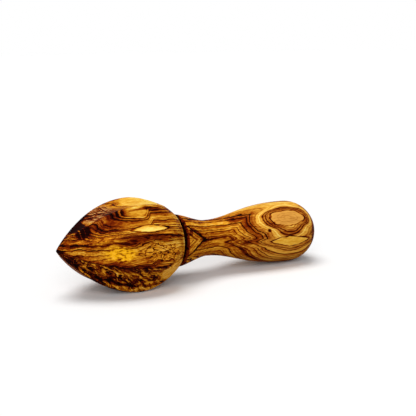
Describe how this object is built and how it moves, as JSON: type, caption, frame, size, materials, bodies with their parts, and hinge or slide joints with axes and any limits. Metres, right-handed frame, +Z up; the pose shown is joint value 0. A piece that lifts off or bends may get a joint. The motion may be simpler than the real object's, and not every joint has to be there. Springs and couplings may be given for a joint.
{
  "type": "citrus reamer",
  "caption": "Hand-held wooden citrus reamer: a pointed, fluted juicing head on a turned handle with a slim waist and a rounded bulb end, lying on its side.",
  "frame": {"origin": "centre of the bottom of the box round the reamer, on the surface it lies on", "axes": "+X along its length, from the point to the bulb; +Z up from the surface. Its own axis lies in the XZ plane and slopes down 3.2 degrees towards the bulb"},
  "size_m": [0.1558, 0.0451, 0.0449],
  "materials": {
    "head_wood": "olive wood, strongly figured, oiled and polished",
    "dowel_wood": "dark red-brown wood, oiled",
    "handle_wood": "olive wood, strongly figured, oiled and polished"
  },
  "bodies": {
    "root": {"reamer_head": "head_wood", "neck_dowel": "dowel_wood", "handle": "handle_wood"}
  },
  "joints": []
}
